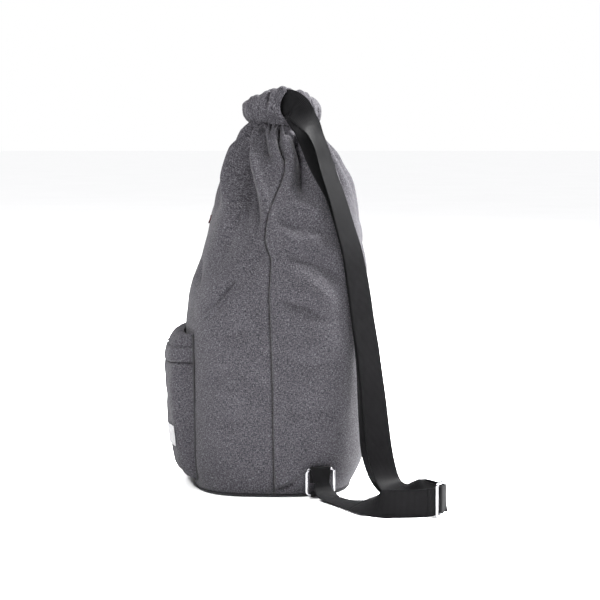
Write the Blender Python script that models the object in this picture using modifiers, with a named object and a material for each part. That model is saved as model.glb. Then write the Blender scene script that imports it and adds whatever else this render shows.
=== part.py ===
"""Sling bag: a gathered fabric bucket bag with a front pocket and one webbing shoulder strap.

Metres, +Z up. The origin is the middle of the base, on the floor. The front (pocket side) faces -Y,
the width runs along X, and the strap leaves the neck on the +X side.
"""
import math

import bmesh
import bpy
import numpy as np
from mathutils import Matrix, Vector

MM = 0.001

# ---- driving dimensions, in metres -------------------------------------------------------------
WEB_WIDTH = 0.032          # shoulder webbing
WEB_THICK = 0.0016
FABRIC = 0.0016            # outer cloth with its backing
LINING_GAP = 0.0012
LINING_THICK = 0.0008
CONTACT = 0.0003           # left between pieces that are sewn to each other
BASE_THICK = 0.004
BOARD_THICK = 0.002
NECK_Z = 0.446             # seam between the body and the drawstring channel

# Body cross-sections: height, front y, back y, half width along X, roundness exponent.
BODY_ROWS = [
    (0.000, -0.101, 0.088, 0.124, 3.0),
    (0.012, -0.106, 0.094, 0.130, 3.0),
    (0.030, -0.108, 0.104, 0.133, 3.0),
    (0.060, -0.109, 0.108, 0.134, 3.0),
    (0.120, -0.110, 0.111, 0.135, 3.0),
    (0.200, -0.112, 0.112, 0.133, 3.0),
    (0.242, -0.108, 0.111, 0.129, 2.8),
    (0.285, -0.094, 0.108, 0.118, 2.6),
    (0.325, -0.083, 0.100, 0.103, 2.5),
    (0.365, -0.072, 0.091, 0.086, 2.4),
    (0.402, -0.061, 0.073, 0.070, 2.3),
    (0.422, -0.050, 0.058, 0.058, 2.2),
    (NECK_Z, -0.039, 0.050, 0.047, 2.2),
]
SECTION_STEPS = 22         # along each half of a section

# Drawstring channel: a soft tube round the neck, open at both sides.
CHANNEL_Z = (0.4475, 0.486)
CHANNEL_MIDDLE_Y = 0.0065
CHANNEL_RADIUS = (0.040, 0.0415)   # to the middle of the tube, along X and Y
CHANNEL_DEPTH = 0.013              # across the tube
CHANNEL_FRONT = (-174.0, 6.0)      # degrees from +X, positive towards the back
CHANNEL_BACK = (22.0, 174.0)

# Pocket
POCKET_HALF = 0.085
POCKET_ROWS = [            # side profile: how far it stands out from the body's front, and height
    (0.0010, 0.0175), (0.0082, 0.0182), (0.015, 0.0235), (0.0195, 0.034), (0.0235, 0.060),
    (0.0265, 0.100), (0.0265, 0.140),
]
LABEL_X = 0.062             # middle of the label, towards the pocket's near end
HEM_ROWS = [
    (0.0265, 0.1405), (0.0262, 0.155), (0.0245, 0.167), (0.0205, 0.178), (0.0145, 0.1865),
    (0.0090, 0.190),
]                          # the mouth is the slit between the last row and the body

# Rectangular ring and its tab, on the near side's lower back corner.
RING_Y, RING_LEVEL = 0.049, 0.020
RING_OFF_PANEL = 0.0070
RING_WIRE = 0.0015
RING_WIDTH, RING_HEIGHT, RING_CORNER = 0.0375, 0.030, 0.0045
RING_PIN_Z = 0.0052
RING_WEB = 0.0245           # the webbing bunches to this width inside the ring

# Strap slide (tri-glide), standing on its edge on the floor.
SLIDE_EDGE = Vector((0.2525, 0.1805, 0.0))     # outer edge of its near bar
SLIDE_HEADING = math.radians(157.0)           # from the near bar to the far bar
SLIDE_LENGTH, SLIDE_TALL, SLIDE_PLATE = 0.025, 0.0395, 0.0024
SLIDE_BAR, SLIDE_RAIL = 0.0033, 0.0028
SLIDE_FLOOR = 0.0003

# Strap routes, in millimetres: centre x, y, z, then the direction across the webbing.
OUTER_ROUTE = [
    (39.5, 1, 467, 0.0, 0.0, 1.0), (42, 9.5, 467.5, 0.0, 0.0, 1.0), (47, 16.5, 467, 0.0, 0.1, 1.0),
    (55, 24, 462, -0.15, 0.3, 0.93), (58.5, 33, 450, -0.45, 0.55, 0.7), (58, 41, 440, -0.7, 0.55, 0.45),
    (59, 47, 428, -0.82, 0.45, 0.28), (62, 53, 414, -0.86, 0.45, 0.2),
    (67, 58, 398, -0.86, 0.5, 0.15), (74, 63, 381, -0.82, 0.55, 0.1), (83, 73, 351, -0.78, 0.6, 0.1),
    (91, 82, 319, -0.72, 0.7, 0.0), (97, 91, 286, -0.67, 0.74, 0.0), (102, 98, 245, -0.6, 0.8, 0.0),
    (105, 103, 209, -0.57, 0.82, 0.0), (107, 108, 178, -0.55, 0.83, 0.0),
    (109, 112, 146, -0.5, 0.86, 0.0), (111, 116, 112, -0.42, 0.9, 0.0),
    (113, 119, 82, -0.35, 0.93, 0.0), (114.5, 122.5, 55, -0.32, 0.94, 0.02), (117, 127, 34, -0.36, 0.92, 0.05),
    (124.5, 133.5, 17.5, -0.48, 0.85, 0.12), (139, 142, 12, -0.56, 0.75, 0.35),
    (157, 151.5, 13.5, -0.48, 0.58, 0.66), (177, 162, 16, -0.25, 0.3, 0.92), (197, 170.5, 17, -0.04, 0.04, 1.0),
    (212, 176.5, 17, 0.0, 0.0, 1.0), (222.5, 183.0, 17, 0.0, 0.0, 1.0),
]
INNER_ROUTE = [
    (49.4, 29.6, 448, -0.25, 0.58, 0.76), (51.2, 32.5, 440, -0.42, 0.62, 0.66), (54.2, 38, 426, -0.57, 0.66, 0.5),
    (60, 45.5, 406.6, -0.6, 0.72, 0.35), (70, 53, 387, -0.66, 0.72, 0.2), (75, 62, 367, -0.75, 0.65, 0.1),
    (79, 69.5, 351, -0.76, 0.64, 0.06), (87, 80, 319, -0.73, 0.68, 0.0), (91.5, 89, 286, -0.7, 0.71, 0.0),
    (96.5, 96, 245, -0.63, 0.77, 0.0), (100, 101, 209, -0.61, 0.79, 0.0), (103, 104.5, 178, -0.64, 0.77, 0.0),
    (106.5, 106, 148, -0.7, 0.71, 0.0), (108.5, 108, 114, -0.66, 0.75, 0.0),
    (108.5, 110.5, 84, -0.58, 0.81, 0.0), (108.5, 113, 60, -0.5, 0.86, 0.0), (109.5, 118, 38, -0.48, 0.87, 0.02),
    (115, 125.5, 19, -0.55, 0.83, 0.05), (128.5, 136, 7.5, -0.62, 0.78, 0.08),
    (147, 148, 8.5, -0.6, 0.7, 0.4), (168, 161, 14, -0.36, 0.42, 0.82),
    (186, 173, 16.8, -0.08, 0.09, 1.0), (201, 183.5, 17, 0.0, 0.0, 1.0), (216, 190.6, 17, 0.0, 0.0, 1.0),
]
LOWER_ROUTE = [
    (249.6, 171, 17, 0.0, 0.0, 1.0), (252.5, 157, 16.8, 0.0, 0.0, 1.0), (252.5, 141, 16.5, 0.0, 0.0, 1.0),
    (251, 128, 16.2, -0.1, 0.1, 0.98), (245, 116.5, 14.9, -0.3, 0.35, 0.88),
    (231, 106, 11.8, -0.45, 0.65, 0.6), (209, 96, 8.1, -0.45, 0.8, 0.35), (186, 86, 4.8, -0.5, 0.85, 0.12),
    (166, 74, 3.2, -0.6, 0.8, 0.0), (153, 64.5, 3.6, -0.7, 0.7, 0.05), (144, 58, 7.6, -0.55, 0.8, 0.15),
    (138.2, 54.4, 13.5, -0.4, 0.9, 0.1), (135.6, 53, 19.4, -0.36, 0.93, 0.0),
]
LOWER_END_WIDTH = 0.6      # the webbing bunches to this share of its width at the ring


def clear_scene():
    for obj in list(bpy.data.objects):
        bpy.data.objects.remove(obj, do_unlink=True)


def new_collection(name, hidden=False):
    made = bpy.data.collections.new(name)
    made.hide_render = hidden
    bpy.context.scene.collection.children.link(made)
    return made


def paint(obj, colour, roughness, metallic=0.0):
    """Gives the object its own Principled material."""
    made = bpy.data.materials.new(obj.name + "_material")
    made.use_nodes = True
    shader = made.node_tree.nodes["Principled BSDF"]
    shader.inputs["Base Color"].default_value = (*colour, 1.0)
    shader.inputs["Roughness"].default_value = roughness
    shader.inputs["Metallic"].default_value = metallic
    obj.data.materials.append(made)
    return obj


GREY_CLOTH = ((0.16, 0.155, 0.165), 0.9)
BLACK_WEB = ((0.012, 0.012, 0.014), 0.7)
CHROME = ((0.78, 0.78, 0.80), 0.15, 1.0)


def mesh_object(name, bm, smooth=True):
    mesh = bpy.data.meshes.new(name)
    bm.to_mesh(mesh)
    bm.free()
    obj = bpy.data.objects.new(name, mesh)
    parts.objects.link(obj)
    if smooth:
        mesh.shade_smooth()
        mesh.set_sharp_from_angle(angle=math.radians(40))
    return obj


def grid(name, rows, closed=False):
    """An open surface through rows of points; closed joins each row's last point to its first."""
    bm = bmesh.new()
    made = [[bm.verts.new(point) for point in row] for row in rows]
    for low, high in zip(made, made[1:]):
        count = len(low)
        for i in range(count if closed else count - 1):
            j = (i + 1) % count
            bm.faces.new((low[i], low[j], high[j], high[i]))
    return mesh_object(name, bm)


def thicken(obj, thickness, offset=-1.0):
    """Gives an open surface its wall; offset -1 grows inwards, 0 both ways."""
    solid = obj.modifiers.new("wall", "SOLIDIFY")
    solid.thickness = thickness
    solid.offset = offset
    solid.use_even_offset = True
    solid.use_rim = True
    return obj


def body_row(z):
    table = np.array(BODY_ROWS)
    return [float(np.interp(z, table[:, 0], table[:, k])) for k in range(1, 5)]


def section_point(z, angle, inset=0.0):
    """A point of the body's section at this height; the angle runs from +X towards the back."""
    front, back, half, power = body_row(z)
    front, back, half = front + inset, back - inset, half - inset
    c, s = math.cos(angle), math.sin(angle)
    x = half * math.copysign(abs(c) ** (2 / power), c)
    y = (front + back) / 2 + (back - front) / 2 * math.copysign(abs(s) ** (2 / power), s)
    return Vector((x, y, z))


def front_y(x, z, inset=0.0):
    """y of the body's front face at this x and height."""
    front, back, half, power = body_row(z)
    share = max(0.0, 1.0 - abs(x / half) ** power) ** (1 / power)
    return (front + back) / 2 - (back - front) / 2 * share + inset


def side_x(y, z):
    """x of the body's near (+X) side at this y and height."""
    front, back, half, power = body_row(z)
    reach = abs((y - (front + back) / 2) / ((back - front) / 2))
    return half * (1.0 - reach ** power) ** (1 / power)


def body_heights(lowest, highest):
    inside = [row[0] for row in BODY_ROWS if lowest + 0.003 < row[0] < highest - 0.003]
    return [lowest] + inside + [highest]


def half_shell(name, start, end):
    """Front or back cloth panel, from one side seam to the other."""
    gap = math.radians(0.35)
    angles = np.linspace(start + gap, end - gap, SECTION_STEPS + 1)
    heights = body_heights(BASE_THICK + CONTACT, NECK_Z)
    rows = [[section_point(z, a) for a in angles] for z in heights]
    return paint(thicken(grid(name, rows), FABRIC), *GREY_CLOTH)


def base_plate(name, z_low, thickness, inset, colour):
    """A flat plate of the body's outline."""
    count = 2 * SECTION_STEPS
    bm = bmesh.new()
    outline = [section_point(z_low, 2 * math.pi * k / count, inset) for k in range(count)]
    face = bm.faces.new([bm.verts.new((p.x, p.y, z_low)) for p in outline])
    grown = bmesh.ops.extrude_face_region(bm, geom=[face])
    tops = [item for item in grown["geom"] if isinstance(item, bmesh.types.BMVert)]
    bmesh.ops.translate(bm, verts=tops, vec=(0, 0, thickness))
    bmesh.ops.recalc_face_normals(bm, faces=bm.faces)
    return paint(mesh_object(name, bm, smooth=False), *colour)


def make_lining():
    """Thin inner bag, open at the neck, resting on the stiffener board."""
    inset = FABRIC + LINING_GAP
    floor = BASE_THICK + CONTACT + BOARD_THICK + CONTACT + LINING_THICK
    count = 2 * SECTION_STEPS
    angles = [2 * math.pi * k / count for k in range(count)]
    bm = bmesh.new()
    heights = body_heights(floor, NECK_Z - 0.004)
    loops = [[bm.verts.new(section_point(z, a, inset)) for a in angles] for z in heights]
    for low, high in zip(loops, loops[1:]):
        for i in range(count):
            j = (i + 1) % count
            bm.faces.new((low[i], low[j], high[j], high[i]))
    centre = bm.verts.new((0, (body_row(floor)[0] + body_row(floor)[1]) / 2, floor))
    for i in range(count):
        bm.faces.new((centre, loops[0][(i + 1) % count], loops[0][i]))
    lining = mesh_object("lining", bm)
    return paint(thicken(lining, LINING_THICK), (0.03, 0.03, 0.034), 0.85)


def smooth_rows(rows, between):
    """A Catmull-Rom curve through rows of numbers."""
    data = np.array(rows, float)
    padded = np.vstack([2 * data[0] - data[1], data, 2 * data[-1] - data[-2]])
    made = []
    for k in range(1, len(data)):
        a, b, c, d = padded[k - 1:k + 3]
        for t in np.arange(between) / between:
            made.append(0.5 * (2 * b + (c - a) * t + (2 * a - 5 * b + 4 * c - d) * t ** 2
                               + (3 * b - a - 3 * c + d) * t ** 3))
    made.append(data[-1])
    return made


def ribbon(name, stations):
    """Flat webbing: each station is a centre, a direction across and a width."""
    centres = [Vector(s[0]) for s in stations]
    rows = []
    for k, (centre, across, width) in enumerate(stations):
        ahead = centres[min(k + 1, len(centres) - 1)] - centres[max(k - 1, 0)]
        ahead.normalize()
        across = Vector(across)
        across = (across - ahead * across.dot(ahead)).normalized() * width / 2
        rows.append([Vector(centre) - across, Vector(centre) + across])
    return paint(thicken(grid(name, rows), WEB_THICK, 0.0), *BLACK_WEB)


def route_stations(route, between=2, widths=None):
    rows = smooth_rows([(*(v * MM for v in row[:3]), *row[3:]) for row in route], between)
    widths = widths or (lambda share: WEB_WIDTH)
    last = len(rows) - 1
    return [(row[:3], row[3:], widths(k / last)) for k, row in enumerate(rows)]


def upright(points, width=WEB_WIDTH, z=0.017):
    """Stations of webbing that stands on its edge along plan points."""
    return [((p.x, p.y, z), (0, 0, 1), width) for p in points]


# ---- drawstring channel ------------------------------------------------------------------------
def channel_centre(angle, z):
    return Vector((CHANNEL_RADIUS[0] * math.cos(angle),
                   CHANNEL_MIDDLE_Y + CHANNEL_RADIUS[1] * math.sin(angle), z))


def channel_tube(name, span):
    """Soft hem tube round part of the neck: a swept oval wall, open at both ends."""
    middle = sum(CHANNEL_Z) / 2
    tall = (CHANNEL_Z[1] - CHANNEL_Z[0]) / 2
    rows = []
    for angle in np.radians(np.linspace(*span, 15)):
        outward = Vector((math.cos(angle), math.sin(angle), 0))
        row = []
        for turn in np.linspace(0, 2 * math.pi, 13)[:-1]:
            across, up = math.cos(turn), math.sin(turn)
            reach = outward * CHANNEL_DEPTH / 2 * math.copysign(abs(across) ** 0.6, across)
            lift = Vector((0, 0, tall * math.copysign(abs(up) ** 0.6, up)))
            row.append(channel_centre(angle, middle) + reach + lift)
        rows.append(row)
    return paint(thicken(grid(name, rows, closed=True), 0.0012), *GREY_CLOTH)


def make_channel_webbing():
    """The part of the webbing inside the channel, between the two runs of the strap."""
    middle = sum(CHANNEL_Z) / 2
    angles = np.radians(np.linspace(CHANNEL_BACK[0] + 9.0, 360.0 + CHANNEL_FRONT[1] - 18.0, 41))
    stations = [(channel_centre(a, middle), (0, 0, 1), WEB_WIDTH) for a in angles]
    return ribbon("channel_webbing", stations)


# ---- pocket ------------------------------------------------------------------------------------
def pocket_point(x, out, z):
    """A point standing out from the body's front; the pocket's ends fall back a little."""
    fall = 0.004 * (abs(x) / POCKET_HALF) ** 4
    return Vector((x, front_y(x, z) - out + fall * min(1.0, out / 0.02), z))


def pocket_sheet(name, rows, half):
    columns = np.linspace(-half, half, 13)
    sheet = grid(name, [[pocket_point(x, out, z) for x in columns] for out, z in rows])
    return paint(thicken(sheet, FABRIC), *GREY_CLOTH)


def pocket_gusset(name, side):
    """End wall of the pocket, between the body and the pocket's front."""
    x = side * (POCKET_HALF + CONTACT)
    fronts = [pocket_point(side * POCKET_HALF, out, z) for out, z in POCKET_ROWS + HEM_ROWS]
    lines = [[Vector((x, p.y, p.z)), Vector((x, front_y(x, p.z) - 0.0006, p.z))] for p in fronts[1:]]
    if side < 0:
        lines = [line[::-1] for line in lines]
    wall = grid(name, lines)
    return paint(thicken(wall, FABRIC, 1.0), *GREY_CLOTH)


def wire(name, points, radius, closed=False, resolution=2):
    data = bpy.data.curves.new(name, "CURVE")
    data.dimensions = "3D"
    data.bevel_depth = radius
    data.bevel_resolution = resolution
    data.use_fill_caps = not closed
    spline = data.splines.new("POLY")
    spline.points.add(len(points) - 1)
    for slot, point in zip(spline.points, points):
        slot.co = (*point, 1.0)
    spline.use_cyclic_u = closed
    obj = bpy.data.objects.new(name, data)
    parts.objects.link(obj)
    return obj


def make_pocket_piping():
    """Corded edge where the pocket is sewn to the body: down one side, along the foot and up."""
    side = POCKET_HALF + FABRIC + 0.0022
    foot = 0.0140
    off = 0.0016
    rise = [(side, z) for z in np.linspace(0.188, foot + 0.003, 10)]
    corner = [(side - 0.0012, foot + 0.0008), (side - 0.0035, foot)]
    along = [(x, foot) for x in np.linspace(side - 0.012, -side + 0.012, 11)]
    path = rise + corner + along + [(-x, z) for x, z in (corner[::-1] + rise[::-1])]
    points = [Vector((x, front_y(x, z) - off, z)) for x, z in path]
    return paint(wire("pocket_piping", points, 0.0011), (0.02, 0.02, 0.022), 0.8)


def block(name, size, matrix, colour, bevel=0.0):
    bm = bmesh.new()
    bmesh.ops.create_cube(bm, size=1.0)
    bmesh.ops.scale(bm, vec=size, verts=bm.verts)
    obj = mesh_object(name, bm, smooth=False)
    obj.matrix_world = matrix
    if bevel:
        edge = obj.modifiers.new("edge", "BEVEL")
        edge.width = bevel
        edge.segments = 1
    return paint(obj, *colour)


def make_labels():
    """A blank woven label low on the pocket, and a small folded tag high on the front panel."""
    z = 0.066
    left, right = pocket_point(LABEL_X - 0.015, 0.0245, z), pocket_point(LABEL_X + 0.015, 0.0245, z)
    turn = Matrix.Rotation(math.atan2(right.y - left.y, right.x - left.x), 4, "Z")
    lean = Matrix.Rotation(math.radians(4.5), 4, "X")
    middle = Vector((LABEL_X, min(pocket_point(LABEL_X, 0.0245, z).y, (left.y + right.y) / 2) - 0.0020, z))
    block("pocket_label", (0.030, 0.0008, 0.024), Matrix.Translation(middle) @ turn @ lean,
          ((0.75, 0.75, 0.76), 0.7))
    z = 0.322
    y = front_y(0.012, z) - 0.0052
    block("side_tag", (0.0012, 0.007, 0.016), Matrix.Translation((0.012, y, z)) @
          Matrix.Rotation(math.radians(-15), 4, "X"), ((0.10, 0.01, 0.015), 0.8))


# ---- ring, tab and strap slide -----------------------------------------------------------------
def ring_frame():
    """(middle of the ring's foot bar, direction along the bar, outward normal)."""
    step = 0.004
    near = Vector((side_x(RING_Y - step, RING_LEVEL), RING_Y - step, 0))
    far = Vector((side_x(RING_Y + step, RING_LEVEL), RING_Y + step, 0))
    along = (far - near).normalized()
    outward = Vector((along.y, -along.x, 0))
    foot = (near + far) / 2 + outward * RING_OFF_PANEL
    foot.z = RING_PIN_Z
    return foot, along, outward


def make_ring():
    """Rectangular wire ring with clipped corners; its origin is on the foot bar, its hinge axis."""
    foot, along, outward = ring_frame()
    half, tall, corner = RING_WIDTH / 2 - RING_WIRE, RING_HEIGHT, RING_CORNER
    outline = [(-half, corner), (-half, tall - corner), (-half + corner, tall), (half - corner, tall),
               (half, tall - corner), (half, corner), (half - corner, 0), (-half + corner, 0)]
    rounded = []
    for k, (a, b) in enumerate(outline):
        pa, pb = outline[k - 1], outline[(k + 1) % len(outline)]
        for q in (pa, pb):
            gap = math.hypot(q[0] - a, q[1] - b)
            share = min(0.0012 / gap, 0.4)
            rounded.append((a + (q[0] - a) * share, b + (q[1] - b) * share))
    points = [along * a + Vector((0, 0, b)) for a, b in rounded]
    ring = wire("strap_ring", points, RING_WIRE, closed=True)
    ring.location = foot
    return paint(ring, *CHROME)


def ring_stations(profile, width):
    """Webbing across the ring: profile holds (outward, height) pairs seen along the foot bar."""
    foot, along, outward = ring_frame()
    stations = []
    for out, z in profile:
        centre = foot + outward * out
        stations.append(((centre.x, centre.y, z), tuple(along), width))
    return stations


def make_ring_tab():
    """Short folded tab that holds the ring's foot bar against the base seam."""
    radius = RING_WIRE + CONTACT + WEB_THICK / 2
    turns = np.radians(np.linspace(115, -115, 12))
    ends = [(-0.0060, 0.0012), (-0.0042, 0.0016)]
    profile = [(out, RING_PIN_Z + lift) for out, lift in ends]
    profile += [(radius * math.cos(a), RING_PIN_Z + radius * math.sin(a)) for a in turns]
    profile += [(out, RING_PIN_Z - lift) for out, lift in ends[::-1]]
    return ribbon("ring_tab", ring_stations(profile, RING_WEB))


def make_ring_wrap():
    """End of the webbing, folded over the ring's top bar and sewn to itself below it."""
    top = RING_PIN_Z + RING_HEIGHT
    radius = RING_WIRE + 0.0004 + WEB_THICK / 2
    profile = [(-radius, top - z) for z in (0.013, 0.008, 0.003)]
    profile += [(-radius * math.cos(a), top + radius * math.sin(a))
                for a in np.radians(np.linspace(10, 170, 9))]
    profile += [(radius, top - z) for z in (0.003, 0.008, 0.014)]
    return ribbon("ring_wrap", ring_stations(profile, RING_WEB))


def slide_axes():
    along = Vector((math.cos(SLIDE_HEADING), math.sin(SLIDE_HEADING), 0))
    return along, Vector((along.y, -along.x, 0))


def slide_point(s, t):
    """Plan point s along the slide from its near edge and t towards its outer face, millimetres."""
    along, facing = slide_axes()
    return SLIDE_EDGE + along * s * MM + facing * t * MM


def add_rectangle(data, x0, x1, y0, y1, corner):
    """A rectangle with clipped corners, as one closed spline of a 2D curve."""
    outline = [(x0 + corner, y0), (x1 - corner, y0), (x1, y0 + corner), (x1, y1 - corner),
               (x1 - corner, y1), (x0 + corner, y1), (x0, y1 - corner), (x0, y0 + corner)]
    spline = data.splines.new("POLY")
    spline.points.add(len(outline) - 1)
    for slot, (x, y) in zip(spline.points, outline):
        slot.co = (x, y, 0, 1)
    spline.use_cyclic_u = True


def make_slide():
    """Tri-glide: a plate with two slots, its origin at the near bar's edge."""
    data = bpy.data.curves.new("strap_slide", "CURVE")
    data.dimensions = "2D"
    data.fill_mode = "BOTH"
    data.extrude = SLIDE_PLATE / 2
    slot = (SLIDE_LENGTH - 3 * SLIDE_BAR) / 2
    add_rectangle(data, 0, SLIDE_LENGTH, 0, SLIDE_TALL, 0.003)
    for k in range(2):
        start = SLIDE_BAR + k * (slot + SLIDE_BAR)
        add_rectangle(data, start, start + slot, SLIDE_RAIL, SLIDE_TALL - SLIDE_RAIL, 0.001)
    obj = bpy.data.objects.new("strap_slide", data)
    parts.objects.link(obj)
    along, facing = slide_axes()
    turn = Matrix((along, Vector((0, 0, 1)), facing)).transposed().to_4x4()
    obj.matrix_world = Matrix.Translation(SLIDE_EDGE + Vector((0, 0, SLIDE_FLOOR))) @ turn
    return paint(obj, *CHROME)


def make_slide_wrap():
    """Webbing threaded through the slide: behind the near bar, over the others, round the far one."""
    plan = [(-9.0, -4.6), (-3.0, -3.1), (1.6, -2.7), (4.2, -2.0), (6.6, 0.0), (9.0, 2.0), (12.0, 2.7),
            (18.0, 2.8), (23.5, 2.7), (26.0, 1.9), (27.2, 0.0), (27.2, -2.6), (27.0, -8.5)]
    rows = smooth_rows(plan, 2)
    points = [slide_point(s, t) for s, t in rows]
    return ribbon("slide_wrap", upright(points, width=0.031, z=0.0201))


# ---- build -------------------------------------------------------------------------------------
clear_scene()
parts = new_collection("sling_bag")

half_shell("front_panel", -math.pi, 0.0)
half_shell("back_panel", 0.0, math.pi)
base_plate("base_panel", 0.0, BASE_THICK, 0.0, ((0.012, 0.012, 0.013), 0.75))
base_plate("base_board", BASE_THICK + CONTACT, BOARD_THICK, 0.0035, ((0.2, 0.19, 0.17), 0.6))
make_lining()
channel_tube("channel_front", CHANNEL_FRONT)
channel_tube("channel_back", CHANNEL_BACK)
make_channel_webbing()
pocket_sheet("pocket_front", POCKET_ROWS, POCKET_HALF)
pocket_sheet("pocket_hem", HEM_ROWS, POCKET_HALF)
pocket_gusset("pocket_gusset_right", 1)
pocket_gusset("pocket_gusset_left", -1)
make_pocket_piping()
make_labels()
make_ring()
make_ring_tab()
make_ring_wrap()
make_slide()
make_slide_wrap()
ribbon("strap_outer", route_stations(OUTER_ROUTE))
ribbon("strap_inner", route_stations(INNER_ROUTE))
ribbon("strap_lower", route_stations(
    LOWER_ROUTE, widths=lambda share: WEB_WIDTH * (1 - (1 - LOWER_END_WIDTH) * max(0, share - 0.6) / 0.4)))
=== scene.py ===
"""The sling bag's looks: cloth, webbing, metal, studio and camera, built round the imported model.

Metres, +Z up, in the model's frame: the origin is the middle of the base, the pocket faces -Y and the
webbing leaves the neck on the +X side, which faces the camera.
"""
import math
import bmesh
import bpy
import numpy as np
from mathutils import Matrix, Vector


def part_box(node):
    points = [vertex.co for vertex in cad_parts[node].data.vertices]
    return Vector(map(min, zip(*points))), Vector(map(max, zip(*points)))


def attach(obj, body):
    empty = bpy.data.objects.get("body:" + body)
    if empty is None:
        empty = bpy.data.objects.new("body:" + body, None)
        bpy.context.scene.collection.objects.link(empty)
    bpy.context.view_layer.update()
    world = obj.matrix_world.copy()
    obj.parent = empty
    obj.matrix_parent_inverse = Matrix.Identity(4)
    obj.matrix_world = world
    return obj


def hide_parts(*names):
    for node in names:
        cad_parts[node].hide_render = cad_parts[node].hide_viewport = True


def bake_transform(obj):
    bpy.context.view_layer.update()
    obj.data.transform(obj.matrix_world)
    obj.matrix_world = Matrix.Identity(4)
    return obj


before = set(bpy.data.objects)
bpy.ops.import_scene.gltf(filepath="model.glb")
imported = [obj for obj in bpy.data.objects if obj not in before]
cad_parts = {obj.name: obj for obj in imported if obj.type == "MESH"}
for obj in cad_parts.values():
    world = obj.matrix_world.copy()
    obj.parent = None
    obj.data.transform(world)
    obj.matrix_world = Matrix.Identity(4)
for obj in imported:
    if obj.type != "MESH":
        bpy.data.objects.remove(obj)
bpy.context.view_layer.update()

MM = 0.001
TAU = 2 * math.pi
NOISE_WAVES = 14           # cosines summed in one smooth noise
FLOOR_REACH = 40.0

# ---- driving dimensions ----
WEB_WIDTH, WEB_THICK = 0.032, 0.0016
FABRIC, THIN_FABRIC = 0.0016, 0.0012
NECK_Z = 0.446
BASE_THICK = 0.004
FLOOR_GAP = 0.0003

# Body cross-sections: height, front y, back y, half width along X, roundness exponent.
BODY_ROWS = np.array([
    (0.000, -0.101, 0.088, 0.124, 3.0),
    (0.012, -0.106, 0.094, 0.130, 3.0),
    (0.030, -0.108, 0.104, 0.133, 3.0),
    (0.060, -0.109, 0.108, 0.134, 3.0),
    (0.120, -0.110, 0.111, 0.135, 3.0),
    (0.200, -0.112, 0.112, 0.133, 3.0),
    (0.242, -0.108, 0.111, 0.129, 2.8),
    (0.285, -0.094, 0.108, 0.118, 2.6),
    (0.325, -0.083, 0.100, 0.103, 2.5),
    (0.365, -0.072, 0.091, 0.086, 2.4),
    (0.402, -0.061, 0.073, 0.070, 2.3),
    (0.422, -0.050, 0.058, 0.058, 2.2),
    (NECK_Z, -0.039, 0.050, 0.047, 2.2),
])

# Drawstring channel
CHANNEL_FOOT = 0.4470
CHANNEL_MIDDLE_Y = 0.0065
NECK_RADIUS, WAIST_PULL = 0.044, 0.0080     # the neck's mean radius, and how far its cord draws it in
CHANNEL_RADIUS = (0.040, 0.0415)
CHANNEL_DEPTH = 0.013
CHANNEL_UV_RADIUS, CHANNEL_GIRTH = 0.047, 0.095      # lengths that its cloth's weave follows
CHANNEL_FRONT = (-174.0, 6.0)      # degrees from +X, positive towards the back
CHANNEL_BACK = (22.0, 174.0)

# Pocket: rows say how far its face stands out from the body, and the height.
POCKET_HALF, POCKET_CORNER, POCKET_COLUMNS = 0.0868, 0.011, 240
POCKET_KNOTS = [0.0, 0.13, 0.22, 0.78, 0.87, 1.0]     # shares of the columns: end, corner, face
POCKET_LIP, HEM_STITCHES, SEAM_STITCHES = 0.156, 0.1738, 0.1528
LABEL_LEVELS, LABEL_SHARES, LABEL_LIFT = (0.0535, 0.0790), (0.207, 0.330), 0.0017
POCKET_ROWS = [
    (0.0030, 0.0170), (0.010, 0.0180), (0.016, 0.0235), (0.0205, 0.034), (0.0245, 0.060), (0.0268, 0.100),
    (0.0275, 0.140), (0.0270, 0.156),
]
HEM_ROWS = [
    (0.0272, 0.1565), (0.0262, 0.165), (0.0242, 0.1735), (0.0205, 0.1825), (0.0145, 0.1890),
    (0.0080, 0.1918), (0.0035, 0.1905),
]

# Ring and slide
RING_WIRE, RING_WIDTH, RING_HEIGHT, RING_CORNER = 0.0015, 0.0375, 0.030, 0.0045
RING_PIN_Z, RING_WEB = 0.0052, 0.0245
SLIDE_EDGE = Vector((0.2525, 0.1805, 0.0))
SLIDE_ALONG = Vector((math.cos(math.radians(157.0)), math.sin(math.radians(157.0)), 0))
SLIDE_LENGTH, SLIDE_TALL, SLIDE_PLATE = 0.025, 0.0395, 0.0024
SLIDE_BAR, SLIDE_RAIL = 0.0033, 0.0028
SLIDE_BEVEL, SLIDE_CORNER, SLOT_CORNER = 0.00095, 0.0034, 0.0012
WRAP_MIDDLE_Z = 0.017
RING_FOOT = Vector((0.1313345, 0.0514948, RING_PIN_Z))
RING_ALONG = Vector((-0.356395, 0.934335, 0.0))
UP = np.array((0.0, 0.0, 1.0))

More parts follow.
